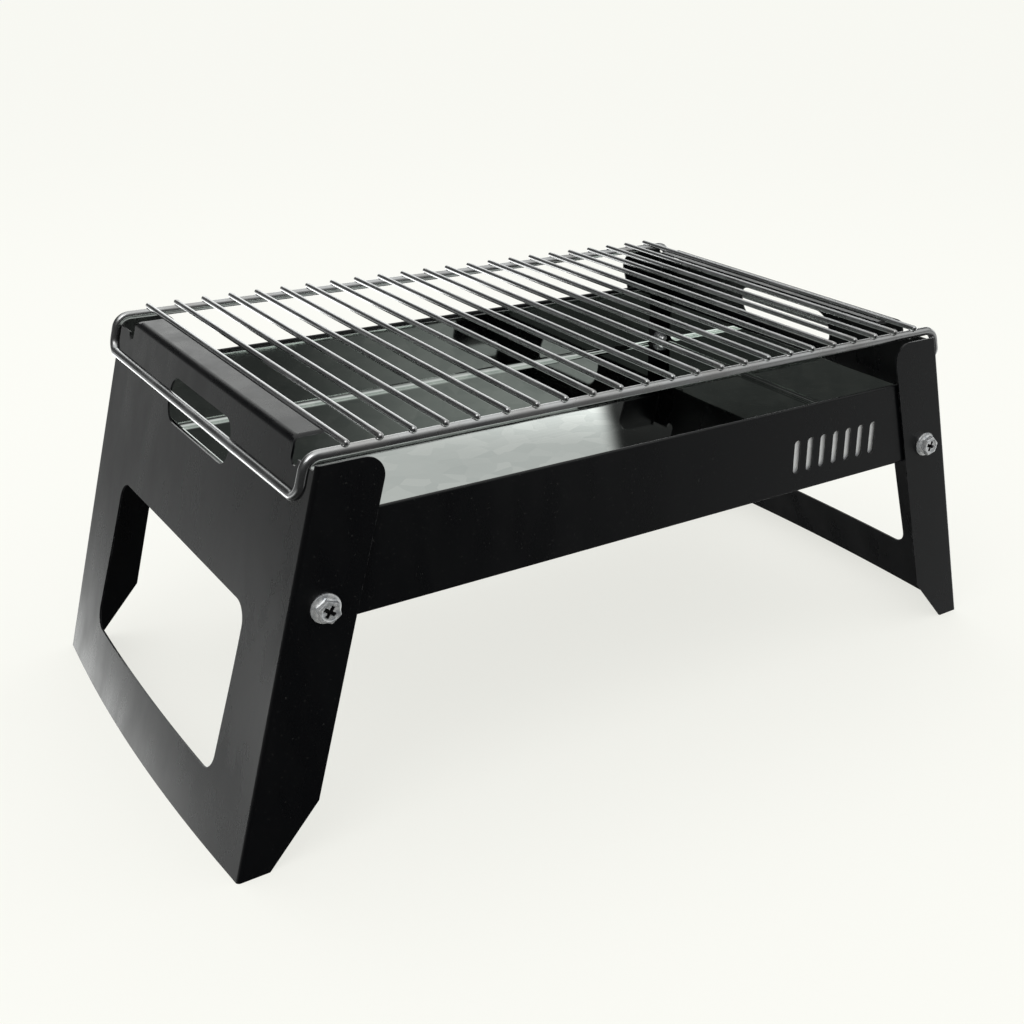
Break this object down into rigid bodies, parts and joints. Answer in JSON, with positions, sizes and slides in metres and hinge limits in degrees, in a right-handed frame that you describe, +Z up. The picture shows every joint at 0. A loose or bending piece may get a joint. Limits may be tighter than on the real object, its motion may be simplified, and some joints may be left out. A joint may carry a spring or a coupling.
{
  "type": "folding camp grill",
  "caption": "Tabletop charcoal grill of black sheet steel: splayed legs fold under a shallow firebox with a bright tray, and a wire grate lifts off the leg tops.",
  "frame": {"origin": "on the ground plane, at the centre of the grill's footprint", "axes": "+X along the grill's length to the right leg, -Y to the front panel with the air slots, +Z up"},
  "size_m": [0.4736, 0.2718, 0.1959],
  "materials": {
    "black_paint": "satin black heat paint on thin steel sheet",
    "galvanised": "bright galvanised sheet with a faint spangle",
    "bright_wire": "bright plated steel wire",
    "zinc": "clear zinc plating"
  },
  "bodies": {
    "firebox": {"front_panel": "black_paint", "back_panel": "black_paint", "left_cross_member": "black_paint", "right_cross_member": "black_paint", "cross_member_rivets": "zinc", "charcoal_tray": "galvanised", "pivot_bolt_front_left": "zinc", "pivot_bolt_front_right": "zinc", "pivot_bolt_back_left": "zinc", "pivot_bolt_back_right": "zinc", "pivot_nut_front_left": "zinc", "pivot_nut_front_right": "zinc", "pivot_nut_back_left": "zinc", "pivot_nut_back_right": "zinc", "pivot_spacer_front_left": "zinc", "pivot_spacer_front_right": "zinc", "pivot_spacer_back_left": "zinc", "pivot_spacer_back_right": "zinc"},
    "left_leg_body": {"left_leg": "black_paint"},
    "right_leg_body": {"right_leg": "black_paint"},
    "grate": {"grate_frame": "bright_wire", "grate_bars": "bright_wire"}
  },
  "joints": [
    {"name": "left_leg_fold", "type": "hinge", "parent": "firebox", "child": "left_leg_body", "pos_m": [-0.1864, 0, 0.1237], "axis": [0, -1, 0], "range_deg": [0, 105.3]},
    {"name": "right_leg_fold", "type": "hinge", "parent": "firebox", "child": "right_leg_body", "pos_m": [0.1864, 0, 0.1237], "axis": [0, 1, 0], "range_deg": [0, 105.3]},
    {"name": "grate_lift", "type": "slide", "parent": "firebox", "child": "grate", "axis": [0, 0, 1], "range_m": [0, 0.37]}
  ],
  "couplings": [
    {"joint": "right_leg_fold", "follows": "left_leg_fold", "ratio": 1},
    {"joint": "grate_lift", "follows": "left_leg_fold", "m_per_rad": 0.2}
  ]
}
